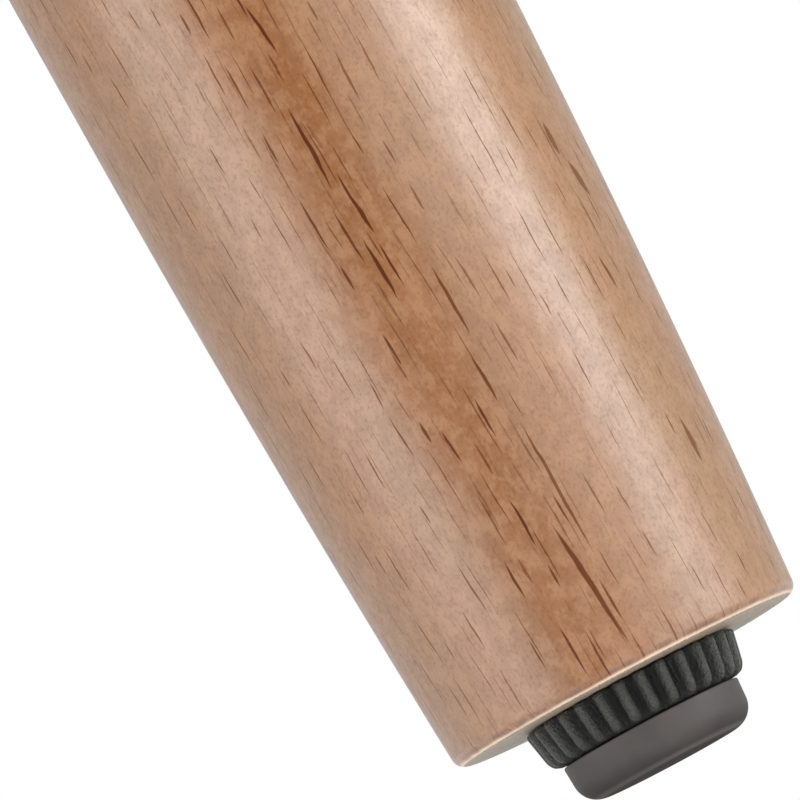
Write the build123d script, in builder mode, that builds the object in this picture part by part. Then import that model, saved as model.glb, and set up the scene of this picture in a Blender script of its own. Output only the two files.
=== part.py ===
from build123d import *
import os

# A turned beech furniture leg that stands on a levelling foot.
# Millimetres, +Z up. The origin is the middle of the pad's underside, and every piece is round about Z
# or centred on it. The foot is drawn at its lowest setting, with its wheel just under the wood.

# Wooden leg
leg_length = 150.0
leg_top_diameter = 40.0
leg_top_chamfer = 0.8
leg_knee_diameter = 36.0  # where the straight taper starts to curve in
leg_knee_height = 60.0  # above the leg's lower end
leg_end_diameter = 30.7  # before the edge is rounded
leg_end_round = 1.0

# Foot pad
pad_top_diameter = 15.7
pad_bottom_diameter = 15.3  # before the edge is rounded
pad_height = 3.6
pad_round = 2.0
pad_floor = 1.2  # rubber under the stem's head

# Adjusting wheel
wheel_top_diameter = 18.8
wheel_bottom_diameter = 17.4
wheel_height = 3.6
wheel_round = 0.6
rib_count = 30
groove_depth = 0.75
groove_width = 0.9

# Steel stem of the foot, M8. Threads are plain rods at about their pitch diameter.
thread_diameter = 7.2
head_diameter = 9.0
head_height = 1.5
neck_diameter = 5.0
hexagon_flats = 11.0
hexagon_height = 2.2
hexagon_cover = 0.7  # plastic between the hexagon and the wheel's underside
stem_engaged = 21.5  # length above the wood's lower end
stem_chamfer = 0.8

# Clearances
turning_gap = 0.05
thread_gap = 0.03
pad_gap = 0.10  # pad to wheel
wood_gap = 0.15  # wheel to wood

# Threaded insert in the wood
insert_diameter = 12.5
insert_length = 15.0
insert_recess = 0.3
insert_chamfer = 0.4
stem_bore_diameter = 9.0
stem_bore_depth = 34.0
drill_point = 2.6

# Hanger bolt, M8, and its nut
screw_diameter = 6.6  # wood thread
screw_length = 38.0
screw_point = 5.0
bolt_below_flange = 0.5  # the bolt's end, under the plate's upper face
nut_flats = 13.0
nut_height = 6.4
nut_spigot_diameter = 10.0

# Mounting plate: a square flange with a dish pressed down in its middle
plate_side = 60.0
plate_corner = 8.0
plate_sheet = 2.0
dish_depth = 7.5
dish_floor_diameter = 34.0
dish_rim_diameter = 43.0
dish_bend = 2.5
hole_spacing = 46.0
hole_diameter = 5.0

# Heights above the floor
head_bottom = pad_floor + turning_gap
head_top = head_bottom + head_height
wheel_bottom = pad_height + pad_gap
wheel_top = wheel_bottom + wheel_height
hexagon_bottom = wheel_bottom + hexagon_cover
wood_bottom = wheel_top + wood_gap
knee = wood_bottom + leg_knee_height
wood_top = wood_bottom + leg_length
stem_top = wood_bottom + stem_engaged
insert_bottom = wood_bottom + insert_recess
insert_top = insert_bottom + insert_length
stem_bore_top = wood_bottom + stem_bore_depth
screw_bottom = wood_top - screw_length
dish_floor = wood_top + plate_sheet
flange_top = dish_floor + dish_depth
bolt_top = flange_top - bolt_below_flange

# Foot pad: its pocket holds the stem's head, which turns in it
with BuildPart() as foot_pad:
    with BuildSketch(Plane.XZ):
        with BuildLine():
            Polyline(
                (0, 0),
                (pad_bottom_diameter / 2, 0),
                (pad_top_diameter / 2, pad_height),
                (neck_diameter / 2 + turning_gap, pad_height),
                (neck_diameter / 2 + turning_gap, head_top + turning_gap),
                (head_diameter / 2 + turning_gap, head_top + turning_gap),
                (head_diameter / 2 + turning_gap, pad_floor),
                (0, pad_floor),
                close=True,
            )
        section = make_face()
        fillet(section.vertices().group_by(Axis.Y)[0].sort_by(Axis.X)[-1], radius=pad_round)
    revolve(axis=Axis.Z)
foot_pad.part.label = "foot_pad"

# Stem: button head, neck, hexagon and thread in one piece
with BuildPart() as glide_stem:
    with BuildSketch(Plane.XZ):
        with BuildLine():
            Polyline(
                (0, head_bottom),
                (head_diameter / 2, head_bottom),
                (head_diameter / 2, head_top),
                (neck_diameter / 2, head_top),
                (neck_diameter / 2, hexagon_bottom),
                (thread_diameter / 2, hexagon_bottom),
                (thread_diameter / 2, stem_top - stem_chamfer),
                (thread_diameter / 2 - stem_chamfer, stem_top),
                (0, stem_top),
                close=True,
            )
        make_face()
    revolve(axis=Axis.Z)
    with BuildSketch(Plane.XY.offset(hexagon_bottom)):
        RegularPolygon(hexagon_flats / 2, 6, major_radius=False)
    extrude(amount=hexagon_height)
glide_stem.part.label = "glide_stem"

# Adjusting wheel: a ribbed cone, moulded round the stem's hexagon
with BuildPart() as adjusting_wheel:
    with BuildSketch(Plane.XZ):
        with BuildLine():
            Polyline(
                (0, wheel_bottom),
                (wheel_bottom_diameter / 2, wheel_bottom),
                (wheel_top_diameter / 2, wheel_top),
                (0, wheel_top),
                close=True,
            )
        section = make_face()
        fillet(section.vertices().group_by(Axis.Y)[0].sort_by(Axis.X)[-1], radius=wheel_round)
    revolve(axis=Axis.Z)
    rim = wheel_top_diameter / 2
    with BuildSketch(Plane.XY.offset(wheel_bottom)):
        with PolarLocations(0, rib_count):
            Polygon(
                (rim - groove_depth, 0),
                (rim + groove_depth, groove_width),
                (rim + groove_depth, -groove_width),
                align=None,
            )
    extrude(amount=wheel_height, mode=Mode.SUBTRACT)
    add(glide_stem.part, mode=Mode.SUBTRACT)
adjusting_wheel.part.label = "adjusting_wheel"

# Threaded insert, which the stem runs in
with BuildPart() as insert_nut:
    bore = thread_diameter / 2 + thread_gap
    with BuildSketch(Plane.XZ):
        with BuildLine():
            Polyline(
                (bore + insert_chamfer, insert_bottom),
                (insert_diameter / 2, insert_bottom),
                (insert_diameter / 2, insert_top),
                (bore, insert_top),
                (bore, insert_bottom + insert_chamfer),
                close=True,
            )
        make_face()
    revolve(axis=Axis.Z)
insert_nut.part.label = "insert_nut"

# Hanger bolt: a pointed wood thread below, a machine thread above
with BuildPart() as hanger_bolt:
    with BuildSketch(Plane.XZ):
        with BuildLine():
            Polyline(
                (0, screw_bottom),
                (screw_diameter / 2, screw_bottom + screw_point),
                (screw_diameter / 2, wood_top),
                (thread_diameter / 2, wood_top),
                (thread_diameter / 2, bolt_top - stem_chamfer),
                (thread_diameter / 2 - stem_chamfer, bolt_top),
                (0, bolt_top),
                close=True,
            )
        make_face()
    revolve(axis=Axis.Z)
hanger_bolt.part.label = "hanger_bolt"

# Wooden leg: a straight taper that curves in towards the foot, bored at both ends
with BuildPart() as leg_body:
    with BuildSketch(Plane.XZ):
        with BuildLine():
            taper = Line((leg_top_diameter / 2, wood_top), (leg_knee_diameter / 2, knee))
            curve = TangentArc(taper @ 1, (leg_end_diameter / 2, wood_bottom), tangent=taper % 1)
            Polyline(curve @ 1, (0, wood_bottom), (0, wood_top), taper @ 0)
        section = make_face()
        fillet(section.vertices().group_by(Axis.Y)[0].sort_by(Axis.X)[-1], radius=leg_end_round)
    revolve(axis=Axis.Z)
    chamfer(leg_body.edges().group_by(Axis.Z)[-1], length=leg_top_chamfer)
    with BuildSketch(Plane.XZ):
        with BuildLine():
            Polyline(
                (0, wood_bottom),
                (insert_diameter / 2, wood_bottom),
                (insert_diameter / 2, insert_top),
                (stem_bore_diameter / 2, insert_top),
                (stem_bore_diameter / 2, stem_bore_top),
                (0, stem_bore_top + drill_point),
                close=True,
            )
        make_face()
    revolve(axis=Axis.Z, mode=Mode.SUBTRACT)
    add(hanger_bolt.part, mode=Mode.SUBTRACT)
leg_body.part.label = "leg_body"

# Nut of the mounting plate: a hexagon on the dish's floor, with a spigot pressed through it
with BuildPart() as plate_nut:
    with BuildSketch(Plane.XY.offset(wood_top)):
        Circle(nut_spigot_diameter / 2)
        Circle(thread_diameter / 2, mode=Mode.SUBTRACT)
    extrude(amount=plate_sheet)
    with BuildSketch(Plane.XY.offset(dish_floor)):
        RegularPolygon(nut_flats / 2, 6, major_radius=False)
        Circle(thread_diameter / 2, mode=Mode.SUBTRACT)
    extrude(amount=nut_height)
plate_nut.part.label = "plate_nut"

# Mounting plate: the dish's section is the sheet's middle line, given its thickness
with BuildPart() as mounting_plate:
    floor_line = dish_floor - plate_sheet / 2
    flange_line = flange_top - plate_sheet / 2
    flange_radius = dish_rim_diameter / 2 + dish_bend
    with BuildSketch(Plane.XZ):
        with BuildLine():
            FilletPolyline(
                (nut_spigot_diameter / 2, floor_line),
                (dish_floor_diameter / 2, floor_line),
                (dish_rim_diameter / 2, flange_line),
                (flange_radius, flange_line),
                radius=dish_bend,
            )
        trace(line_width=plate_sheet)
    revolve(axis=Axis.Z)
    with BuildSketch(Plane.XY.offset(flange_top - plate_sheet)):
        RectangleRounded(plate_side, plate_side, plate_corner)
        Circle(flange_radius, mode=Mode.SUBTRACT)
        with GridLocations(hole_spacing, hole_spacing, 2, 2):
            Circle(hole_diameter / 2, mode=Mode.SUBTRACT)
    extrude(amount=plate_sheet)
mounting_plate.part.label = "mounting_plate"

os.makedirs("parts", exist_ok=True)
pieces = (
    leg_body,
    foot_pad,
    adjusting_wheel,
    glide_stem,
    insert_nut,
    hanger_bolt,
    mounting_plate,
    plate_nut,
)
for piece in pieces:
    export_step(piece.part, f"parts/{piece.part.label}.step")
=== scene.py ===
# %% [markdown]
# # A beech furniture leg on a levelling foot
# The object is a turned wooden leg. A ribbed plastic wheel under it turns a steel stem in and out of the
# wood, and a rubber pad takes the load on the floor. The design fixes every size and place, so this
# script only gives each piece its finer shape and its finish. It starts by loading that design.

# %% Load the design
import math

import bmesh
import bpy
import numpy as np
from mathutils import Matrix, Vector


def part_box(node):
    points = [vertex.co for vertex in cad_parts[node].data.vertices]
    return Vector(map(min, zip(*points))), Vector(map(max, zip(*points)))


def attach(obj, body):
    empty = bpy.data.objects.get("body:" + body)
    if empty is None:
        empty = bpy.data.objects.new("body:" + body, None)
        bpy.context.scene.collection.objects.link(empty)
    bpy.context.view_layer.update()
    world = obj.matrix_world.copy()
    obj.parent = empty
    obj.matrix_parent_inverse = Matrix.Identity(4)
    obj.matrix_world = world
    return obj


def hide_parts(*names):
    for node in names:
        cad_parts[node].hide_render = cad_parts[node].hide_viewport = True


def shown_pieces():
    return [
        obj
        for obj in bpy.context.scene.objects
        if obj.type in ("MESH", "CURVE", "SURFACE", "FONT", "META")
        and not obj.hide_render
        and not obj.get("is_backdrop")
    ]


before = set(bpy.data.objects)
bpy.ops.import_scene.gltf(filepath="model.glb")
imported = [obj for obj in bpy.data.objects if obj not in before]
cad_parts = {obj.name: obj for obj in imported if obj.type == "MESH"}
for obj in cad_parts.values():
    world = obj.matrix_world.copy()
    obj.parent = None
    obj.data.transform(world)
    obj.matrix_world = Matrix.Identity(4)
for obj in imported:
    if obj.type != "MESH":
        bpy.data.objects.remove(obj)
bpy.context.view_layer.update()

# %% [markdown]
# ## Heights
# Blender works in metres and these pieces are small, so lengths are written in millimetres and turned
# into metres once, where the mesh is made. Heights come from the boxes of the design's own pieces, and
# then nothing has to be fitted by eye.

# %% Heights above the floor, in millimetres
MM = 0.001


def span(node):
    """Lowest and highest point of a design piece, in millimetres."""
    low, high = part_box(node)
    return low[2] / MM, high[2] / MM


pad_bottom, pad_top = span("foot_pad")
wheel_bottom, wheel_top = span("adjusting_wheel")
wood_bottom, wood_top = span("leg_body")
stem_bottom, stem_top = span("glide_stem")
insert_bottom, insert_top = span("insert_nut")
bolt_bottom, bolt_top = span("hanger_bolt")
plate_bottom, plate_top = span("mounting_plate")
nut_bottom, nut_top = span("plate_nut")
print("wheel", wheel_bottom, wheel_top, "wood", wood_bottom, wood_top)
print("plate", plate_bottom, plate_top)

# %% [markdown]
# ## Camera
# The leg is looked at from a little below its lower end, which shows a sliver of the wood's end face,
# and the camera is rolled so that the leg crosses the picture at a slant. A long lens far away keeps
# the leg's sides from converging. Roll is easiest as a turn of the camera's right and up directions
# about the line of sight, so the matrix is built from those three directions.

# %% Camera
LENS = 450.0
SENSOR = 36.0
VIEW_WIDTH = 64.0  # millimetres of the leg that fit across the picture
VIEW_HEIGHT = 35.95  # height of the picture's middle above the floor
VIEW_ASIDE = -5.55  # how far the middle lies to the right of the leg's axis
END_ELEVATION = math.radians(-2.75)  # of the camera, seen from the wood's lower end
ROLL = math.radians(28)

distance = LENS * VIEW_WIDTH / SENSOR
eye = Vector((VIEW_ASIDE, -distance, wood_bottom + distance * math.tan(END_ELEVATION)))
forward = (Vector((VIEW_ASIDE, 0, VIEW_HEIGHT)) - eye).normalized()
level_right = forward.cross(Vector((0, 0, 1))).normalized()
level_up = level_right.cross(forward)
right = level_right * math.cos(ROLL) - level_up * math.sin(ROLL)
up = level_right * math.sin(ROLL) + level_up * math.cos(ROLL)

lens = bpy.data.cameras.new("camera")
lens.lens = LENS
lens.sensor_width = SENSOR
lens.clip_end = 20  # metres, past the floor's far edge
camera = bpy.data.objects.new("camera", lens)
turn = Matrix((right, up, -forward)).transposed().to_4x4()
camera.matrix_world = Matrix.Translation(eye * MM) @ turn
bpy.context.collection.objects.link(camera)
bpy.context.scene.camera = camera
print("camera", round(distance), "mm away")

# %% [markdown]
# ## Shader maths
# A finish such as wood is mostly arithmetic on the surface's own coordinates: add a wobble, fold it into
# cells, compare it with a width. Wiring Math nodes by hand hides that arithmetic. The first small class
# wraps one socket and gives it the usual operators, so that a formula can be read as a formula, and
# each operator adds its node. The second holds the nodes of one material, or of the world. Everything
# that isn't plain arithmetic comes from its one method, add.

# %% A socket that can be written in formulas
class Value:
    """One number, colour or vector in a material. Its operators work on numbers and add Math nodes."""

    def __init__(self, finish, socket):
        self.finish = finish
        self.socket = socket

    def maths(self, operation, *terms):
        """A Math node on these terms."""
        return self.finish.add("Math", {"operation": operation}, dict(enumerate(terms)))

    def __add__(self, other):
        return self.maths("ADD", self, other)

    def __radd__(self, other):
        return self.maths("ADD", other, self)

    def __sub__(self, other):
        return self.maths("SUBTRACT", self, other)

    def __rsub__(self, other):
        return self.maths("SUBTRACT", other, self)

    def __mul__(self, other):
        return self.maths("MULTIPLY", self, other)

    def __rmul__(self, other):
        return self.maths("MULTIPLY", other, self)

    def __truediv__(self, other):
        return self.maths("DIVIDE", self, other)

    def __rtruediv__(self, other):
        return self.maths("DIVIDE", other, self)

    def __pow__(self, other):
        return self.maths("POWER", self, other)

    def __neg__(self):
        return self.maths("MULTIPLY", self, -1)

    def __abs__(self):
        return self.maths("ABSOLUTE", self)

    def least(self, other):
        """The smaller of the two."""
        return self.maths("MINIMUM", self, other)

    def step(self, low, high):
        """0 below low, 1 above high, and a smooth climb between them. It falls if low is above high."""
        limits = {"Value": self, "From Min": low, "From Max": high}
        return self.finish.add("MapRange", {"interpolation_type": "SMOOTHSTEP"}, limits)

    def parts(self):
        """The three numbers in a vector or colour."""
        split = self.finish.add("SeparateXYZ", values={"Vector": self}, every=True)
        return split["X"], split["Y"], split["Z"]


# %% A finish: one material or world and its nodes
class Finish:
    """The nodes of a material or world, round the one shader that it starts with."""

    def __init__(self, material, shader="Principled BSDF"):
        self.material = material
        self.material.use_nodes = True
        self.tree = self.material.node_tree
        self.shader = self.tree.nodes[shader]

    def feed(self, socket, value):
        """Links a Value to a socket, or sets a plain number, colour or vector on it."""
        if isinstance(value, Value):
            self.tree.links.new(value.socket, socket)
        else:
            socket.default_value = value

    def add(self, kind, settings=None, values=None, out=0, every=False):
        """Any node: its type, then its settings, then the values or links of its sockets."""
        node = self.tree.nodes.new("ShaderNode" + kind)
        for name, setting in (settings or {}).items():
            setattr(node, name, setting)
        for key, value in (values or {}).items():
            self.feed(node.inputs[key], value)
        if every:
            return {socket.name: Value(self, socket) for socket in node.outputs}
        return Value(self, node.outputs[out])

    def set(self, **values):
        """Values or links on the shader's own sockets, named with _ for a space."""
        for name, value in values.items():
            self.feed(self.shader.inputs[name.replace("_", " ")], value)

    def place(self):
        """Where a point lies on the object, as x, y and z in millimetres."""
        point = self.add("TexCoord", every=True)["Object"]
        return [number / MM for number in point.parts()]

    def vector(self, x, y, z):
        """Three numbers as one vector."""
        return self.add("CombineXYZ", values={0: x, 1: y, 2: z})

    def noise(self, vector, scale=1.0, detail=2.0, roughness=0.5):
        """Soft random values from 0 to 1, with features about 1 / scale across."""
        values = {"Vector": vector, "Scale": scale, "Detail": detail, "Roughness": roughness}
        return self.add("TexNoise", values=values)

    def random(self, vector):
        """Three random numbers from 0 to 1, the same wherever the vector is the same."""
        dice = self.add("TexWhiteNoise", {"noise_dimensions": "3D"}, {"Vector": vector}, every=True)
        return dice["Color"].parts()

    def mix(self, share, first, second):
        """A blend of two colours, share of the second."""
        return self.add("Mix", {"data_type": "RGBA"}, {0: share, 6: first, 7: second}, out=2)

    def bump(self, height, distance, strength):
        """A surface normal from a height, where 1 stands for distance in metres."""
        return self.add("Bump", values={"Strength": strength, "Distance": distance, "Height": height})


def shade(red, green, blue):
    """A colour given on the usual 0 to 255 scale, as the linear colour that shaders use."""
    share = np.array([red, green, blue]) / 255
    linear = np.where(share <= 0.04045, share / 12.92, ((share + 0.055) / 1.055) ** 2.4)
    return (*linear.tolist(), 1.0)


print("socket maths ready")

# %% [markdown]
# ## Light and floor
# A satin lacquer shows its light as two long soft bands, so two softboxes stand left and right of the
# leg, the right one stronger, and two weaker ones light its top and its foot. A white world fills in
# round them. What the camera sees of the world is pure white, and what lights the object is dimmer, so
# that the wood between the two bands keeps its own deep colour. Behind the leg the world is brighter,
# which gives both of its sides a pale rim. The floor is plain and pale. The camera sits just below its
# level, so its material is clear when it is seen from underneath, and it casts no shadow on the foot.

# %% World
FRONT_LIGHT = 0.25  # from where the camera stands
BACK_LIGHT = 0.65  # from behind the leg

world = bpy.data.worlds.new("studio")
bpy.context.scene.world = world
bpy.context.scene.view_settings.view_transform = "Standard"
studio = Finish(world, "Background")
backward = studio.add("TexCoord", every=True)["Generated"].parts()[1]
fill = (backward + 1) * ((BACK_LIGHT - FRONT_LIGHT) / 2) + FRONT_LIGHT
seen = studio.add("LightPath", every=True)["Is Camera Ray"]
studio.set(Color=(1, 1, 1, 1), Strength=fill + seen * (1 - fill))
print("world light", FRONT_LIGHT, "in front and", BACK_LIGHT, "behind")


# %% Softboxes
AIM = Vector((0, 0, 0.06))  # in metres, on the leg's lower half


def softbox(name, azimuth, elevation, away, width, height, power):
    """A rectangular lamp that faces AIM. Azimuth 0 is in front, positive to the right."""
    lamp = bpy.data.lights.new(name, "AREA")
    lamp.shape = "RECTANGLE"
    lamp.size = width
    lamp.size_y = height
    lamp.energy = power
    holder = bpy.data.objects.new(name, lamp)
    turn, rise = math.radians(azimuth), math.radians(elevation)
    toward = Vector((math.sin(turn) * math.cos(rise), -math.cos(turn) * math.cos(rise), math.sin(rise)))
    holder.location = AIM + toward * away
    holder.rotation_mode = "QUATERNION"
    holder.rotation_quaternion = toward.to_track_quat("Z", "Y")
    bpy.context.collection.objects.link(holder)
    print(name, power, "W at", away, "m")


# azimuth and elevation in degrees, then metres away, width, height and watts
softbox("softbox_right", 68, 4, 0.9, 0.55, 0.5, 4.65)
softbox("softbox_left", -62, 4, 0.9, 0.70, 0.5, 2.5)
softbox("softbox_top", 0, 62, 1.2, 1.0, 1.0, 15)
softbox("softbox_low", 0, -38, 1.2, 1.0, 0.5, 5)


# %% Floor
FLOOR_GLOW = 0.5  # keeps the far floor as pale as the near
FLOOR_HALF = 4.0  # metres
FLOOR_DROP = 0.00005  # metres, keeps the floor clear of the pad's underside


def pale_floor():
    """A white matt floor that lets light and sight through from underneath."""
    paint = Finish(bpy.data.materials.new("pale_floor"))
    seen = paint.add("LightPath", every=True)["Is Camera Ray"]
    paint.set(
        Base_Color=(0.86, 0.86, 0.86, 1),
        Roughness=0.9,
        Emission_Color=(1, 1, 1, 1),
        Emission_Strength=seen * FLOOR_GLOW,
    )
    matt = Value(paint, paint.shader.outputs["BSDF"])
    clear = paint.add("BsdfTransparent")
    underneath = paint.add("NewGeometry", every=True)["Backfacing"]
    choice = paint.add("MixShader", values={0: underneath, 1: matt, 2: clear})
    paint.feed(paint.tree.nodes["Material Output"].inputs["Surface"], choice)
    return paint.material


sheet = bpy.data.meshes.new("floor")
corners = [(x * FLOOR_HALF, y * FLOOR_HALF, -FLOOR_DROP) for x, y in ((-1, -1), (1, -1), (1, 1), (-1, 1))]
sheet.from_pydata(corners, [], [(0, 1, 2, 3)])
sheet.materials.append(pale_floor())
floor = bpy.data.objects.new("floor", sheet)
bpy.context.collection.objects.link(floor)
floor.visible_shadow = False
floor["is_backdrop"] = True
print("floor", 2 * FLOOR_HALF, "m wide")


# %% [markdown]
# ## Turned surfaces
# Everything here is round about one upright axis, even the ribbed wheel, the hexagons and the threads,
# if the radius may change with the angle. So one kind of surface serves for all of them: a grid whose
# rows run round the axis and whose columns follow the piece's section. Blender's Spin or Screw could
# turn a plain section, but a table of radii also gives ribs, flats and threads, worked out at once as
# a whole array.

# %% Angles, circles and sections
AROUND = 192


def angles(count=AROUND):
    """count angles round the axis, as one row."""
    return np.arange(count) * (2 * math.pi / count)


def rounded(corners, steps=6):
    """A section through corners (radius, height, round), where each round is an arc tangent to both runs.

    The arc's centre lies on the corner's bisector, and it meets each run round / tan(half the corner's
    angle) from the corner. Returns one row of (radius, height) for each point.
    """
    points = np.array(corners, float)
    section = [points[:1, :2]]
    for before, here, after in zip(points[:-2], points[1:-1], points[2:]):
        corner, radius = here[:2], here[2]
        if radius == 0:
            section.append(corner[None])
            continue
        back = (before[:2] - corner) / np.linalg.norm(before[:2] - corner)
        on = (after[:2] - corner) / np.linalg.norm(after[:2] - corner)
        half = math.acos(np.clip(back @ on, -1, 1)) / 2
        centre = corner + (back + on) / np.linalg.norm(back + on) * radius / math.sin(half)
        start = corner + back * radius / math.tan(half) - centre
        side = corner - centre
        side = side - start * (side @ start) / radius**2
        side = side / np.linalg.norm(side) * radius
        turn = np.linspace(0, math.pi - 2 * half, steps + 1)[:, None]
        section.append(centre + start * np.cos(turn) + side * np.sin(turn))
    section.append(points[-1:, :2])
    return np.concatenate(section)


print("a rounded corner has", len(rounded([(0, 0, 0), (5, 0, 1), (5, 5, 0)])) - 2, "points")


# %% The grid as a mesh
SHARP = math.radians(35)  # faces that meet at more than this keep a hard edge


def add_piece(name, points, faces, body, node, slot, finish):
    """A finished piece from points in millimetres: it rides on a body and stands for a design node."""
    mesh = bpy.data.meshes.new(name)
    mesh.from_pydata((points * MM).tolist(), [], faces)
    mesh.update()
    mesh.shade_smooth()
    mesh.set_sharp_from_angle(angle=SHARP)
    mesh.materials.append(finish)
    piece = bpy.data.objects.new(name, mesh)
    bpy.context.collection.objects.link(piece)
    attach(piece, body)
    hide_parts(node)
    print(name, len(points), "points", len(faces), "faces")
    return piece


def grid_faces(rows, around, ring=False):
    """Faces of a grid that closes round on itself, as a table with four corners for each.

    The point in a row and column has the number row * around + column. A ring's last row joins its
    first.
    """
    row = np.arange(rows if ring else rows - 1)[:, None]
    column = np.arange(around)[None]
    across = (column + 1) % around
    above = (row + 1) % rows
    corners = (
        row * around + column,
        row * around + across,
        above * around + across,
        above * around + column,
    )
    return np.stack(np.broadcast_arrays(*corners), axis=2)


def turned(radius, height, ring=False):
    """Points and faces of a surface round the axis.

    radius and height are tables with a row for each step along the section and a column for each
    angle, and a point is (radius cos angle, radius sin angle, height). A ring's last row joins its
    first. Any other surface starts and ends on the axis, where the first and last rows shrink to one
    point each, with a fan of triangles. The section runs upwards on the outside, so faces look outwards.
    """
    radius, height = np.broadcast_arrays(radius, height)
    rows, around = radius.shape
    turn = angles(around)
    points = np.stack([radius * np.cos(turn), radius * np.sin(turn), height], axis=2).reshape(-1, 3)
    quads = grid_faces(rows, around, ring)
    if ring:
        return points, quads.reshape(-1, 4).tolist()
    first = quads[0][:, [0, 2, 3]]
    last = quads[-1][:, [0, 1, 3]]
    first[:, 0] = 0
    last[:, 2] = (rows - 1) * around
    middle = quads[1:-1].reshape(-1, 4)
    used = np.ones(len(points), bool)
    used[1:around] = False
    used[(rows - 1) * around + 1:] = False
    number = np.cumsum(used) - 1
    faces = number[first].tolist() + number[middle].tolist() + number[last].tolist()
    return points[used], faces


def rings(section, count=AROUND):
    """A section's rows as tables of radius and height, the same all round."""
    radius, height = section[:, :1], section[:, 1:2]
    size = len(section), count
    return np.broadcast_to(radius, size), np.broadcast_to(height, size)


def stacked(*tables):
    """Several stretches of a section, each as tables of radius and height, joined one after another."""
    return [np.concatenate(stretches) for stretches in zip(*tables)]


print("a grid of 2 rows of 3 points that closes has", len(grid_faces(2, 3)[0]), "faces")


# %% [markdown]
# ## Lacquered beech: its grain
# Beech is a warm brown wood with no bold rings. Its grain runs up the leg, with faint fibres and fine
# pores, a redder band of heartwood crosses the leg's front, and a satin lacquer closes the surface. An
# image could show all that from one side only, so the wood is worked out from the place of each point.
# The first step finds where a point lies in the grain: how far round the leg it is, along lines that
# lean, fan out and waver a little.

# %% Place in the grain
GRAIN_RADIUS = 16.0  # where the columns of rays have their stated width
GIRTH = 2 * math.pi * GRAIN_RADIUS
GRAIN_LEAN = 0.045  # sideways drift of the grain for each step upwards
GRAIN_FAN = 0.0015  # and how fast that drift grows from left to right
HEART_PLACE = -2.1  # middle of the band of heartwood, to the left of the leg's axis
HEART_WIDTH = 6.6  # from its middle to where it has faded out

wood = Finish(bpy.data.materials.new("lacquered_beech"))
x, y, z = wood.place()


def cloud(across, along, detail=2, roughness=0.5, lift=0):
    """Soft random values in the wood, with features about 1 / across wide and 1 / along tall."""
    point = wood.vector(x * across, y * across, z * along + lift)
    return wood.noise(point, detail=detail, roughness=roughness)


front = wood.add("Math", {"operation": "ARCTAN2"}, {0: x, 1: -y}) * GRAIN_RADIUS
drift = (cloud(0.10, 0.03, 1) - 0.5) * 2.0
sideways = front + z * (x * GRAIN_FAN + GRAIN_LEAN) + drift
waver = (cloud(0.5, 0.3) - 0.5) * 0.36
heart = abs(x - HEART_PLACE + (cloud(0.12, 0.05, 1, lift=4) * 3 - 1.5)).step(HEART_WIDTH, 0.4)
print("grain made with", len(wood.tree.nodes), "nodes")

# %% [markdown]
# ## Rays
# What tells beech apart is its rays: thin upright sheets that end at the surface as short dark slivers,
# one above another in line with the grain. They come in all sizes, so three sets of columns stand round
# the leg, from bold to hair-fine. White Noise gives each column and each sliver its own random numbers,
# so that thousands of slivers need only a few nodes. The few largest rays are listed one by one.

# %% Slivers in columns
def slivers(sideways, columns, row, half_width, half_length, key):
    """A mask of upright slivers that stand one above another in columns round the leg.

    sideways is measured round the leg from its front, and a whole number of columns fills the girth.
    Each column is cut into rows. Random numbers for the column move its line sideways and its rows up,
    and random numbers for the row give each sliver its own length and strength. A point is inside a
    sliver where (upright / half length)^2 + |sideways| / half width is under 1, which narrows to a
    point at both ends. swell, worked out below, makes the slivers wider in the heartwood.
    """
    strip = wood.add("Math", {"operation": "FRACT"}, {0: sideways / GIRTH + 0.5}) * columns
    number = wood.add("Math", {"operation": "FLOOR"}, {0: strip})
    line, climb, thick = wood.random(wood.vector(number, key, 0))
    aside = (strip - number - 0.25 - line * 0.5) * (GIRTH / columns)
    level = z / row + climb * 7
    storey = wood.add("Math", {"operation": "FLOOR"}, {0: level})
    longer, deeper, shift = wood.random(wood.vector(number, storey, key + 0.5))
    reach = half_length[0] + (half_length[1] - half_length[0]) * longer
    ahead = ((level - storey - 0.5) * row + (shift - 0.5) * (row - reach * 2)) / reach
    wide = (half_width[0] + (half_width[1] - half_width[0]) * thick) * swell
    inside = (1 - ahead * ahead - abs(aside) / wide).step(0, 0.4)
    return inside * deeper.step(0.1, 0.75)


swell = heart * 0.45 + 0.6
# columns, height of a row, thinnest and widest half width, shortest and longest half length, key
bold = slivers(sideways + waver, 62, 6.4, (0.11, 0.19), (1.0, 2.8), 3)
fine = slivers(sideways + waver * 0.7, 88, 8.0, (0.07, 0.11), (1.3, 3.8), 11)
hair = slivers(sideways + waver * 0.5, 140, 6.0, (0.05, 0.07), (0.8, 2.4), 23)
print("columns of rays made with", len(wood.tree.nodes), "nodes so far")

# %% The largest rays
LARGE_RAYS = (  # upper end's place across and up, lower end's, half width
    (-1.6, 67.9, -1.1, 62.8, 0.17),
    (-2.3, 59.5, -2.2, 51.3, 0.19),
    (-1.4, 51.4, -1.0, 46.8, 0.17),
    (-2.0, 47.4, -1.8, 41.3, 0.19),
    (1.4, 43.0, 1.7, 36.1, 0.16),
    (1.9, 29.4, 2.3, 16.2, 0.17),
    (0.3, 20.9, 1.5, 8.6, 0.30),
    (16.2, 49.6, 16.4, 46.3, 0.40),
    (17.0, 46.1, 17.9, 42.3, 0.45),
    (15.0, 38.0, 15.4, 34.6, 0.20),
    (15.4, 23.6, 15.6, 19.3, 0.32),
)

large = 0
for upper, high, lower, low, half_width in LARGE_RAYS:
    ahead = (z - (high + low) / 2) / ((high - low) / 2)
    aside = abs(front - (upper + lower) / 2 - ahead * ((upper - lower) / 2) + waver)
    large = large + (1 - ahead * ahead - aside / half_width).step(0, 0.4)
rays = (bold + fine * 0.7 + large).least(1)
print(len(LARGE_RAYS), "large rays")
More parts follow.
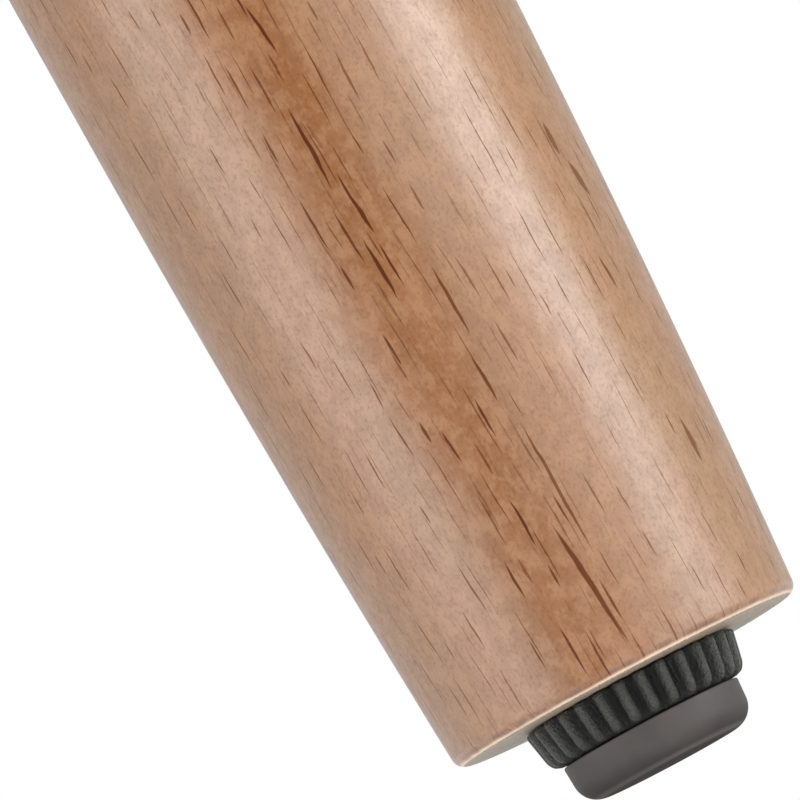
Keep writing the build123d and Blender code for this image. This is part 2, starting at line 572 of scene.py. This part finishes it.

# %% [markdown]
# ## Ends of the wood
# The lacquer is thin on a sharp edge, and handling wears it off, so each end of the leg has a narrow
# pale edge, partly worn raw wood and partly a painted highlight where the rounded edge catches light,
# with darker brown patches next to it. The flat faces show end grain: the open ends of the vessels,
# as dark specks on a paler ground. All of them depend on one number, how far a point is from the
# nearer end.

# %% Edge and end grain
# the pale edge is partly worn raw wood and partly a painted highlight on the rounded edge
EDGE_WORN_AND_LIT = 0.32  # height of the pale edge at each end of the wood
EDGE_DARK_BAND = 0.35  # height of the darker brown band next to it
FACE_SKIN = 0.12  # what lies nearer to an end than this is its flat face

middle = (wood_bottom + wood_top) / 2
to_end = (wood_top - middle) - abs(z - middle)
# mask of the pale edge: worn raw wood and painted highlight
edge = (EDGE_WORN_AND_LIT - to_end + waver * 0.6).step(-0.05, 0.22)
beside = (EDGE_WORN_AND_LIT + EDGE_DARK_BAND - to_end).step(-0.2, 0.2)
face = (FACE_SKIN - to_end).step(0, 0.08)
vessels = cloud(4.2, 0, 3, 0.7).step(0.46, 0.60)
print("raw edge", EDGE_WORN_AND_LIT, "mm tall")

# %% [markdown]
# ## Colour and lacquer
# The colour is laid on as a stainer would: the ground of the sides and of the heartwood first, then
# soft clouds and curl, fibres and pores, the rays, and the ends last. The lacquer is Principled's coat.
# It doesn't fill the rays and lies thinner over pores, which breaks up its shine, and a shallow bump
# lets the rays sink in.

# %% Colour of the beech
broad = cloud(0.25, 0.05)
curl = cloud(0.8, 0.55, 5, 0.65)
fibre = cloud(2.4, 0.12, 3, 0.6)
pores = cloud(3.6, 2.6, 3, 0.6)
yellow = x.step(9, 13)  # the leg's right side
darkness = heart * 0.45 + yellow * 0.08 + 0.5  # of the rays

layers = (  # how much of it, and its colour
    (yellow * 0.6, shade(144, 104, 58)),
    (broad.step(0.35, 0.7) * 0.35, shade(150, 98, 60)),
    (curl.step(0.43, 0.62) * 0.35, shade(164, 120, 80)),
    (fibre.step(0.50, 0.75) * 0.22, shade(104, 68, 40)),
    (pores.step(0.52, 0.70) * 0.28, shade(100, 60, 34)),
    ((fine + hair * 0.7).least(1) * darkness * 0.8, shade(86, 40, 10)),
    ((bold + large).least(1) * darkness, shade(74, 28, 2)),
    # darker brown patches in a band beside each pale edge
    (beside * curl.step(0.46, 0.56) * 0.8, shade(104, 66, 42)),
    # pale edge colour: worn raw wood and painted highlight
    (edge, shade(224, 200, 176)),
    (face * 0.8, shade(150, 138, 118)),
    (face * vessels * 0.75, shade(74, 64, 52)),
)
colour = wood.mix(heart, shade(140, 106, 80), shade(122, 70, 8))
for share, tint in layers:
    colour = wood.mix(share, colour, tint)
print(len(layers), "layers of colour on the ground")

# %% Lacquer
hollows = fibre * 0.25 + pores * 0.35 - rays * 0.6
thin = pores.step(0.45, 0.62) * 0.25 + curl.step(0.58, 0.44) * 0.16
wood.set(
    Base_Color=colour,
    Roughness=0.33 + fibre * 0.08 + edge * 0.4,
    Specular_IOR_Level=0.2,
    Coat_Weight=1 - rays * 0.95 - edge * 0.2 - thin,
    Coat_IOR=1.8,
    Coat_Roughness=0.35,
    Normal=wood.bump(hollows, 0.00003, 0.6),
)
print(len(wood.tree.nodes), "nodes in the beech")

# %% [markdown]
# ## The turned leg
# On a lathe the leg gets a straight taper that curves in over its last stretch, a rounded lower edge and
# a chamfered top. It is bored from below for the insert and the stem, and from above for the hanger
# bolt. The section runs from the roof of the lower bore, round the outside, to the floor of the upper
# one, so the leg is one closed surface with real holes.

# %% Leg
KNEE_RISE = 60.0  # from the wood's lower end to where the straight taper starts
KNEE_RADIUS = 18.0
END_RADIUS = 15.35
END_ROUND = 1.0
TOP_CHAMFER = 0.8
STEM_BORE = 4.5
STEM_BORE_DEPTH = 34.0
DRILL_POINT = 2.6
BORE_MOUTH = 0.25  # round at the lower bore's edge
INSERT_RADIUS = 6.25
SCREW_RADIUS = 3.3
SCREW_POINT = 5.0
TOP_RADIUS = 20.0
TOP_ROUND = 0.3  # at both edges of the chamfer
END_CLEAR = 2.5  # the plain side starts this far above the lower end
TOP_CLEAR = 2.0  # and stops this far below the top
SIDE_ROWS = 72

knee = wood_bottom + KNEE_RISE
taper = (TOP_RADIUS - KNEE_RADIUS) / (wood_top - knee)
curve = (KNEE_RADIUS - taper * KNEE_RISE - END_RADIUS) / KNEE_RISE**2


def side_radius(height):
    """Radius of the leg's side: a straight taper, less a share of the squared depth below the knee."""
    return KNEE_RADIUS + taper * (height - knee) - curve * np.maximum(knee - height, 0) ** 2


def leg_section():
    """The leg's whole section, from the lower bore's roof to the upper bore's floor."""
    first, last = wood_bottom + END_CLEAR, wood_top - TOP_CLEAR
    lower = rounded([
        (0, wood_bottom + STEM_BORE_DEPTH + DRILL_POINT, 0),
        (STEM_BORE, wood_bottom + STEM_BORE_DEPTH, 0),
        (STEM_BORE, insert_top, 0),
        (INSERT_RADIUS, insert_top, 0),
        (INSERT_RADIUS, wood_bottom, BORE_MOUTH),
        (END_RADIUS, wood_bottom, END_ROUND),
        (side_radius(first), first, 0),
    ], steps=8)
    heights = np.linspace(first, last, SIDE_ROWS)[1:-1]
    side = np.stack([side_radius(heights), heights], axis=1)
    upper = rounded([
        (side_radius(last), last, 0),
        (side_radius(wood_top - TOP_CHAMFER), wood_top - TOP_CHAMFER, TOP_ROUND),
        (TOP_RADIUS - TOP_CHAMFER, wood_top, TOP_ROUND),
        (SCREW_RADIUS, wood_top, 0),
        (SCREW_RADIUS, bolt_bottom + SCREW_POINT, 0),
        (0, bolt_bottom, 0),
    ])
    return np.concatenate([lower, side, upper])


add_piece("turned_leg", *turned(*rings(leg_section())), "leg", "leg_body", "beech", wood.material)

# %% [markdown]
# ## Rubber pad
# The pad is one soft moulding with a little draft on its side and a large round where it meets the
# floor. Its pocket holds the stem's round head. The rubber is dark and dull, and it is not perfectly
# even: a fine pitted skin breaks up the light. Its sole is painted a paler grey, as painted light on an
# underside that lies in shade.

# %% Rubber finish
SOLE_PAINTED_LIGHT_TOP = 0.45  # height below which the sole is painted paler, as painted light on its shaded underside
SOLE_PAINTED_LIGHT_FADE = 0.4


def moulded_rubber():
    """Dull dark grey rubber with a fine pitted skin and a sole painted paler, as painted light."""
    rubber = Finish(bpy.data.materials.new("moulded_rubber"))
    x, y, z = rubber.place()
    skin = rubber.noise(rubber.vector(x, y, z), scale=7, detail=3)
    cloud = rubber.noise(rubber.vector(x, y, z), scale=0.35, detail=2)
    colour = rubber.mix(cloud.step(0.3, 0.7), shade(72, 67, 66), shade(80, 75, 73))
    rubber.set(
        # painted light: the shaded sole gets a paler grey
        Base_Color=rubber.mix((SOLE_PAINTED_LIGHT_TOP - z).step(0, SOLE_PAINTED_LIGHT_FADE), colour, shade(128, 121, 118)),
        Roughness=0.52 + skin * 0.12,
        Normal=rubber.bump(skin, 0.00002, 0.35),
    )
    return rubber.material


pad_rubber = moulded_rubber()
print(len(pad_rubber.node_tree.nodes), "nodes in the rubber")

# %% Pad
PAD_TOP_RADIUS = 7.85
PAD_BOTTOM_RADIUS = 7.65
PAD_ROUND = 2.0
PAD_EDGE = 0.15  # round at the top's two edges
PAD_FLOOR = 1.2
HEAD_RADIUS = 4.5
NECK_RADIUS = 2.5
HEAD_HEIGHT = 1.5
GAP = 0.05  # running clearance round the stem's head and neck
head_top = stem_bottom + HEAD_HEIGHT

pad_section = rounded([
    (0, pad_bottom, 0),
    (PAD_BOTTOM_RADIUS, pad_bottom, PAD_ROUND),
    (PAD_TOP_RADIUS, pad_top, PAD_EDGE),
    (NECK_RADIUS + GAP, pad_top, PAD_EDGE),
    (NECK_RADIUS + GAP, head_top + GAP, 0),
    (HEAD_RADIUS + GAP, head_top + GAP, 0),
    (HEAD_RADIUS + GAP, PAD_FLOOR, 0),
    (0, PAD_FLOOR, 0),
], steps=12)
add_piece("rubber_pad", *turned(*rings(pad_section)), "foot", "foot_pad", "rubber", pad_rubber)

# %% [markdown]
# ## Ribbed wheel
# Fingers turn this wheel, so its rim is a ring of rounded ribs with narrow grooves between them. It
# narrows towards the floor, where each rib ends like a fingertip. The ribs come from the section twice:
# once along the ribs' crests and once along the grooves' floors. A wave round the rim then chooses
# between the two, wide and flat on the ribs and sharp in the grooves.

# %% Ribs of the wheel
RIBS = 30
RIB_STEPS = 24  # angles in each rib
RIB_SHARE = 0.62  # of the pitch, the rest is groove
RIB_ROWS = 30  # heights from the rim's lower edge to its upper one
RIB_POWER = 2.4  # 2 would make a rib's section an ellipse, and more makes it squarer
RIM_LIFT = 0.1  # the rim's lower edge, above the wheel's underside
CREST_SHOULDER = (0.03, 0.09, 0.25)  # how far the ribs' last rows step in, to round their upper ends
GROOVE_SHOULDER = (0.02, 0.12)
CREST_TOP = 9.4
CREST_BOTTOM = 8.7
GROOVE_TOP = 8.45
GROOVE_BOTTOM = 7.9
GROOVE_VEE = 0.45  # how much deeper a groove's middle is than its edges
TIP_HEIGHT = 0.95  # how far up each rib's fingertip reaches
TIP_DEPTH = 0.62
NOTCH_RISE = 0.45  # how much higher the grooves end than the ribs
NOTCH_POWER = 6  # how soon that difference is gone, up the rim
print("each rib is", round(2 * math.pi * CREST_TOP / RIBS * RIB_SHARE, 2), "mm wide")

# %% [markdown]
# ## Black plastic
# The wheel is moulded in black plastic with a grained skin. Its ribs catch the light and its grooves
# hold none, so one number, how deep a point lies under the ribs' crests, paints shade into the grooves'
# colour and dulls them.

# %% Black plastic finish
def black_plastic():
    """Moulded black plastic with a grained, slightly shiny surface, and painted shade in its dull grooves.
    """
    plastic = Finish(bpy.data.materials.new("black_plastic"))
    x, y, z = plastic.place()
    grain = plastic.noise(plastic.vector(x, y, z * 0.8), scale=4.5, detail=4, roughness=0.6)
    scuff = plastic.noise(plastic.vector(x, y, z * 0.4), scale=1.3, detail=3)
    slope = (CREST_TOP - CREST_BOTTOM) / (wheel_top - wheel_bottom)
    crest = (z - wheel_bottom) * slope + CREST_BOTTOM
    depth = (crest - (x * x + y * y) ** 0.5).step(0.25, 0.95)
    colour = plastic.mix(scuff.step(0.35, 0.7), shade(34, 37, 32), shade(48, 52, 45))
    # painted shade: the grooves' colour goes towards black with their depth
    colour = plastic.mix(depth * 0.8, colour, shade(10, 10, 9))
    plastic.set(
        Base_Color=colour,
        Specular_IOR_Level=0.9,
        Roughness=0.12 + grain * 0.24 + depth * 0.4,
        Normal=plastic.bump(grain, 0.0003, 0.9),
    )
    return plastic.material


wheel_plastic = black_plastic()
print(len(wheel_plastic.node_tree.nodes), "nodes in the plastic")

# %% Wheel
THREAD_RADIUS = 4.0
HEXAGON_FLATS = 11.0
HEXAGON_HEIGHT = 2.2
HEXAGON_COVER = 0.7
UNDER_INSET = 0.75  # from the grooves' floor in to the flat underside
UNDER_SOFT = 0.2  # width of the soft edge round the underside
UNDER_RISE = 0.04  # and its height
OVER_INSET = 0.8  # from the grooves' floor in to the flat top
hexagon_bottom = wheel_bottom + HEXAGON_COVER
hexagon_top = hexagon_bottom + HEXAGON_HEIGHT


def hexagon(flats, turn):
    """Radius of a hexagon at each angle.

    It is half the width over flats, divided by the cosine of the angle to the nearest flat's middle.
    """
    return flats / 2 / np.cos(np.mod(turn, math.pi / 3) - math.pi / 6)


def wheel_surface():
    """The wheel's outside with its ribs, and inside it the room that the stem's hexagon fills.

    Across its width a rib stands out by sqrt(1 - aside^RIB_POWER), nearly a half circle, where aside
    is 1 at the rib's edge.
    """
    turn = angles(RIBS * RIB_STEPS)
    aside = np.abs(np.mod(turn * RIBS / (2 * math.pi) + 0.5, 1) - 0.5) * 2 / RIB_SHARE
    rib = np.sqrt(1 - np.minimum(aside, 1) ** RIB_POWER)
    up = np.linspace(0, 1, RIB_ROWS)[:, None]
    height = wheel_bottom + RIM_LIFT + up * (wheel_top - wheel_bottom - RIM_LIFT)
    short = np.clip(1 - (height - height[0]) / TIP_HEIGHT, 0, 1)
    crest = CREST_BOTTOM + (CREST_TOP - CREST_BOTTOM) * up - TIP_DEPTH * (1 - np.sqrt(1 - short**2))
    crest[-3:, 0] -= CREST_SHOULDER
    groove = GROOVE_BOTTOM + (GROOVE_TOP - GROOVE_BOTTOM) * up
    groove[-2:, 0] -= GROOVE_SHOULDER
    valley = np.maximum(aside - 1, 0) / (1 / RIB_SHARE - 1)
    rim = groove + np.maximum(crest - groove, 0) * rib - GROOVE_VEE * valley
    height = height + NOTCH_RISE * (1 - rib) * (1 - up) ** NOTCH_POWER

    under = [
        (NECK_RADIUS, wheel_bottom),
        (GROOVE_BOTTOM - UNDER_INSET, wheel_bottom),
        (GROOVE_BOTTOM - UNDER_INSET + UNDER_SOFT, wheel_bottom + UNDER_RISE),
    ]
    over = [
        (GROOVE_TOP - OVER_INSET, wheel_top),
        (THREAD_RADIUS, wheel_top),
        (THREAD_RADIUS, hexagon_top),
    ]
    flats = hexagon(HEXAGON_FLATS, turn)[None]
    return stacked(
        rings(np.array(under), len(turn)),
        (rim, np.broadcast_to(height, rim.shape)),
        rings(np.array(over), len(turn)),
        (flats, np.full_like(flats, hexagon_top)),
        (flats, np.full_like(flats, hexagon_bottom)),
        rings(np.array([(NECK_RADIUS, hexagon_bottom)]), len(turn)),
    )


wheel_shape = turned(*wheel_surface(), ring=True)
add_piece("ribbed_wheel", *wheel_shape, "wheel", "adjusting_wheel", "black_plastic", wheel_plastic)

# %% [markdown]
# ## Threads
# A screw thread is a turned surface too: the radius rises and falls with the height, and the whole
# pattern is shifted by one pitch for each turn round. Blender's Screw modifier would sweep a thread
# profile, but it leaves open ends. As a table of radii, the thread can be cut off by a cone at its end,
# as a real one is, and the nut's thread is the same table a little larger, so the two mesh.

# %% Thread surfaces
PITCH = 1.25  # M8
THREAD_DEPTH = 0.68
THREAD_COUNT = 96  # angles round a thread
THREAD_ROWS = 12  # heights in each pitch
COARSE_ROWS = 14  # the same for a thread that bites wood
NUT_GAP = 0.06
END_SLOPE = 0.9  # of the cone that cuts a thread's end: how far in for each step up
END_DEPTH = 0.15  # how far under the thread's root that cone ends


def thread(height, pitch=PITCH, crest=THREAD_RADIUS, depth=THREAD_DEPTH, flat=0.125, root=0.25):
    """Radius of a right-hand thread at each height and angle.

    Its phase is height / pitch - angle / full turn. The crest is flat for the share of the pitch that
    flat gives, the root for the share that root gives, and straight flanks join them.
    """
    phase = height[:, None] / pitch - angles(THREAD_COUNT)[None] / (2 * math.pi)
    away = np.abs(np.mod(phase, 1) - 0.5) * 2
    return crest - depth * np.clip((away - flat) / (1 - root - flat), 0, 1)


def level(height, radius):
    """Each row's height, for every angle of a table of radii."""
    return np.broadcast_to(height[:, None], radius.shape)


def steps(first, last, pitch=PITCH, parts=THREAD_ROWS):
    """Heights from first to last, parts of them to each pitch."""
    return np.linspace(first, last, max(2, round(abs(last - first) / pitch * parts)))


def bolt_thread(first, last):
    """Radii and heights of a bolt's thread, cut off by a cone at its upper end."""
    height = steps(first, last)
    cone = THREAD_RADIUS - THREAD_DEPTH - END_DEPTH + (last - height)[:, None] * END_SLOPE
    radius = np.minimum(thread(height), cone)
    return radius, level(height, radius)


print("an M8 thread has", THREAD_COUNT, "angles and", THREAD_ROWS, "heights to each turn")


# %% [markdown]
# ## Zinc-plated steel
# The screws, nuts and plate are cheap steel parts with a bright zinc coat. It is a metal, so its colour
# tints the reflection, and what makes it look real is uneven roughness: a fine brushed streak, cloudy
# patches from the plating bath, and a faint change from bluish to yellowish.

# %% Zinc finish
def bright_zinc():
    """Zinc plate on steel, with cloudy gloss and fine streaks."""
    zinc = Finish(bpy.data.materials.new("bright_zinc"))
    x, y, z = zinc.place()
    cloud = zinc.noise(zinc.vector(x, y, z), scale=0.25, detail=3)
    streak = zinc.noise(zinc.vector(x * 0.6, y * 6, z * 0.6), scale=1.0, detail=3)
    spangle = zinc.noise(zinc.vector(x, y, z), scale=1.6, detail=4, roughness=0.7)
    zinc.set(
        Base_Color=zinc.mix(cloud.step(0.35, 0.65), shade(196, 199, 202), shade(206, 202, 190)),
        Metallic=1.0,
        Roughness=0.24 + streak * 0.12 + spangle * 0.14,
        Normal=zinc.bump(streak * 0.5 + spangle * 0.5, 0.00001, 0.3),
    )
    return zinc.material


zinc = bright_zinc()
print(len(zinc.node_tree.nodes), "nodes in the zinc")

# %% [markdown]
# ## Stem of the foot
# One steel part does three jobs. Its round head turns in the pad, its hexagon is moulded into the wheel,
# and its thread runs up into the leg. It shows between wheel and wood once the leg is raised.

# %% Stem
HEAD_ROUND_LOW = 0.35
HEAD_ROUND_HIGH = 0.25


def stem_surface():
    """Head, neck, hexagon and thread, from the head's underside to the thread's chamfered end."""
    low = rounded([
        (0, stem_bottom, 0),
        (HEAD_RADIUS, stem_bottom, HEAD_ROUND_LOW),
        (HEAD_RADIUS, head_top, HEAD_ROUND_HIGH),
        (NECK_RADIUS, head_top, 0),
        (NECK_RADIUS, hexagon_bottom, 0),
    ])
    flats = np.broadcast_to(hexagon(HEXAGON_FLATS, angles(THREAD_COUNT)), (2, THREAD_COUNT))
    return stacked(
        rings(low, THREAD_COUNT),
        (flats, level(np.array([hexagon_bottom, hexagon_top]), flats)),
        bolt_thread(hexagon_top, stem_top),
        rings(np.array([(0, stem_top)]), THREAD_COUNT),
    )


add_piece("stem_screw", *turned(*stem_surface()), "wheel", "glide_stem", "zinc_steel", zinc)

# %% [markdown]
# ## Insert in the leg's end
# Wood holds no fine thread, so a steel insert is screwed into the bore first. Outside it has a coarse
# thread that bites the wood, inside the fine thread that the stem runs in.

# %% Insert
INSERT_PITCH = 2.5
INSERT_DEPTH = 0.8
ENTRY = 0.5  # countersink at each end of a nut's thread


def nut_bore(bottom, top):
    """Radii and heights of a threaded hole from its top down, opened by a cone at each end."""
    height = steps(bottom, top)[::-1]
    inlet = THREAD_RADIUS + ENTRY - np.minimum(height - bottom, top - height)[:, None]
    radius = np.maximum(thread(height) + NUT_GAP, inlet)
    return radius, level(height, radius)


def insert_surface():
    """The insert's outer thread from the bottom up, then its inner thread from the top down."""
    height = steps(insert_bottom, insert_top, INSERT_PITCH, COARSE_ROWS)
    ends = INSERT_RADIUS - INSERT_DEPTH + np.minimum(height - insert_bottom, insert_top - height)[:, None]
    coarse = thread(height, INSERT_PITCH, INSERT_RADIUS, INSERT_DEPTH, flat=0.1, root=0.45)
    outside = np.minimum(coarse, ends)
    return stacked((outside, level(height, outside)), nut_bore(insert_bottom, insert_top))


add_piece("threaded_insert", *turned(*insert_surface(), ring=True), "leg", "insert_nut", "zinc_steel", zinc)

# %% [markdown]
# ## Hanger bolt
# A hanger bolt is a wood screw at one end and a machine screw at the other. The wood end goes into the
# leg's top, and the machine end turns into the plate's nut.

# %% Hanger bolt
WOOD_PITCH = 3.0
WOOD_DEPTH = 0.95
SHANK = 5.0  # plain length under the wood's top
RUNOUT = 0.5  # height over which the wood thread ends in the shank
RELIEF = 0.4  # and over which the shank widens to the machine thread


def hanger_surface():
    """A pointed wood thread, a plain shank and a machine thread."""
    low = steps(bolt_bottom, wood_top - SHANK, WOOD_PITCH, COARSE_ROWS)
    point = (low - bolt_bottom)[:, None] * SCREW_RADIUS / SCREW_POINT
    ridge = thread(low, WOOD_PITCH, SCREW_RADIUS, WOOD_DEPTH, flat=0.06, root=0.5)
    coarse = np.minimum(ridge, point)
    shank = [(SCREW_RADIUS, wood_top - SHANK + RUNOUT), (SCREW_RADIUS, wood_top - RELIEF)]
    return stacked(
        (coarse, level(low, coarse)),
        rings(np.array(shank), THREAD_COUNT),
        bolt_thread(wood_top, bolt_top),
        rings(np.array([(0, bolt_top)]), THREAD_COUNT),
    )


add_piece("hanger_screw", *turned(*hanger_surface()), "leg", "hanger_bolt", "zinc_steel", zinc)

# %% [markdown]
# ## Nut of the plate
# The nut stands on the floor of the plate's dish, with a spigot pressed through it. A hexagon nut's top
# corners are turned off by a shallow cone, which leaves the curved edges that every nut has. The smaller
# of the hexagon's radius and the cone's gives exactly those edges.

# %% Plate nut
NUT_FLATS = 13.0
NUT_FACE = 0.1  # how far inside the flats the round top face ends
NUT_CONE = math.radians(30)
NUT_CURVE = 0.9  # height over which the cone cuts the hexagon's corners
NUT_ROWS = 10
SPIGOT_RADIUS = 5.0
SPIGOT_CHAMFER = 0.2
SHEET = 2.0
dish_floor = wood_top + SHEET


def nut_surface():
    """The nut's spigot, its hexagon under a 30 degree cone, and its threaded bore."""
    height = np.concatenate([[dish_floor], nut_top - np.linspace(NUT_CURVE, 0, NUT_ROWS)])
    cone = NUT_FLATS / 2 - NUT_FACE + (nut_top - height)[:, None] / math.tan(NUT_CONE)
    flats = np.minimum(hexagon(NUT_FLATS, angles(THREAD_COUNT)), cone)
    spigot = [
        (SPIGOT_RADIUS - SPIGOT_CHAMFER, nut_bottom),
        (SPIGOT_RADIUS, nut_bottom + SPIGOT_CHAMFER),
        (SPIGOT_RADIUS, dish_floor),
    ]
    return stacked(
        rings(np.array(spigot), THREAD_COUNT),
        (flats, level(height, flats)),
        nut_bore(nut_bottom, nut_top),
    )


add_piece("hexagon_nut", *turned(*nut_surface(), ring=True), "leg", "plate_nut", "zinc_steel", zinc)

# %% [markdown]
# ## Mounting plate
# The plate is one sheet of steel: a square flange, four screw holes, and a dish pressed down in the
# middle. So it is drawn as a sheet without thickness, and Solidify gives it its 2 mm and Bevel the soft
# edges that a press leaves. The dish is a turned section. Each quarter of the flange is a grid between
# the screw hole and the quarter's own outline, and four turns of it close the square.

# %% Plate
PLATE_SIDE = 60.0
PLATE_CORNER = 8.0
HOLE_PLACE = 23.0  # from the middle, along both sides
HOLE_RADIUS = 2.5
DISH_FLOOR_RADIUS = 17.0
DISH_RIM_RADIUS = 21.5
DISH_BEND = 2.5
FLANGE_START = 23.0
ARC_STEPS = 24  # of the dish's rim in each quarter
EDGE_STEPS = 4
SIDE_STEPS = 8
CORNER_STEPS = 14
HOLE_TO_OUTLINE = (0, 0.08, 0.25, 0.5, 0.75, 1)  # where the flange's rows lie between the two


def quarter_outline():
    """Points round one quarter of the flange, anticlockwise: rim, straight edge, corner, straight edge."""
    half, straight = PLATE_SIDE / 2, PLATE_SIDE / 2 - PLATE_CORNER
    bend = np.linspace(0, math.pi / 2, CORNER_STEPS + 1)[:-1]
    rim = np.linspace(math.pi / 2, 0, ARC_STEPS + 1)[:-1]
    out = np.linspace(FLANGE_START, half, EDGE_STEPS + 1)[:-1]
    along = np.linspace(0, straight, SIDE_STEPS + 1)[:-1]
    pieces = [
        (FLANGE_START * np.cos(rim), FLANGE_START * np.sin(rim)),
        (out, out * 0),
        (along * 0 + half, along),
        (straight + PLATE_CORNER * np.cos(bend), straight + PLATE_CORNER * np.sin(bend)),
        (straight - along, along * 0 + half),
        (out * 0, half + FLANGE_START - out),
    ]
    return np.concatenate([np.stack(piece, axis=1) for piece in pieces])


def plate_sheet():
    """The sheet's middle surface: a turned dish, and a flange of four grids round the screw holes."""
    low, high = dish_floor - SHEET / 2, plate_top - SHEET / 2
    section = rounded([
        (SPIGOT_RADIUS, low, 0),
        (DISH_FLOOR_RADIUS, low, DISH_BEND),
        (DISH_RIM_RADIUS, high, DISH_BEND),
        (FLANGE_START, high, 0),
    ])
    turn = angles(4 * ARC_STEPS)
    radius, height = section[:, :1], section[:, 1:]
    dish = np.stack(np.broadcast_arrays(radius * np.cos(turn), radius * np.sin(turn), height), axis=2)
    grids = [dish]

    outline = quarter_outline()
    away = outline - HOLE_PLACE
    hole = HOLE_PLACE + away / np.linalg.norm(away, axis=1, keepdims=True) * HOLE_RADIUS
    share = np.array(HOLE_TO_OUTLINE)[:, None, None]
    flat = hole * (1 - share) + outline * share
    for quarter in range(4):
        cosine, sine = round(math.cos(quarter * math.pi / 2)), round(math.sin(quarter * math.pi / 2))
        x = flat[..., 0] * cosine - flat[..., 1] * sine
        y = flat[..., 0] * sine + flat[..., 1] * cosine
        grids.append(np.stack([x, y, np.full_like(x, high)], axis=2))
    return grids


def joined(grids):
    """Points and faces of several grids that close round on themselves."""
    points, faces, start = [], [], 0
    for grid in grids:
        rows, around = grid.shape[:2]
        quads = grid_faces(rows, around).reshape(-1, 4)
        points.append(grid.reshape(-1, 3))
        faces += (quads + start).tolist()
        start += rows * around
    return np.concatenate(points), faces


# %% The sheet gets its thickness
WELD = 0.001  # points nearer to each other than this are one
EDGE_ROUND = 0.3
EDGE_SEGMENTS = 3
CUT_EDGE = math.radians(50)  # only edges as sharp as this are rounded


def pressed(piece, thickness, edge):
    """Joins the sheet's grids where they meet, then gives it its thickness and rounds its cut edges."""
    shape = bmesh.new()
    shape.from_mesh(piece.data)
    bmesh.ops.remove_doubles(shape, verts=shape.verts, dist=WELD * MM)
    shape.to_mesh(piece.data)
    shape.free()
    solid = piece.modifiers.new("thickness", "SOLIDIFY")
    solid.thickness = thickness * MM
    solid.offset = 0
    solid.use_even_offset = True
    bevel = piece.modifiers.new("pressed_edges", "BEVEL")
    bevel.width = edge * MM
    bevel.segments = EDGE_SEGMENTS
    bevel.limit_method = "ANGLE"
    bevel.angle_limit = CUT_EDGE


plate = add_piece("pressed_plate", *joined(plate_sheet()), "leg", "mounting_plate", "zinc_steel", zinc)
pressed(plate, SHEET, EDGE_ROUND)
print("sheet", SHEET, "mm thick")

# %% [markdown]
# ## Even shading
# Each round edge is a few narrow faces between wide ones. If every face counted the same, the wide ones
# would look bent near their edges. Weighted Normal lets the larger faces decide, so flats stay flat and
# rounds stay round. A design node that kept its own mesh would be left out.

# %% Weighted normals
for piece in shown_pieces():
    if piece.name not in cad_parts:
        weighted = piece.modifiers.new("even_shading", "WEIGHTED_NORMAL")
        weighted.keep_sharp = True
        print("shaded", piece.name)
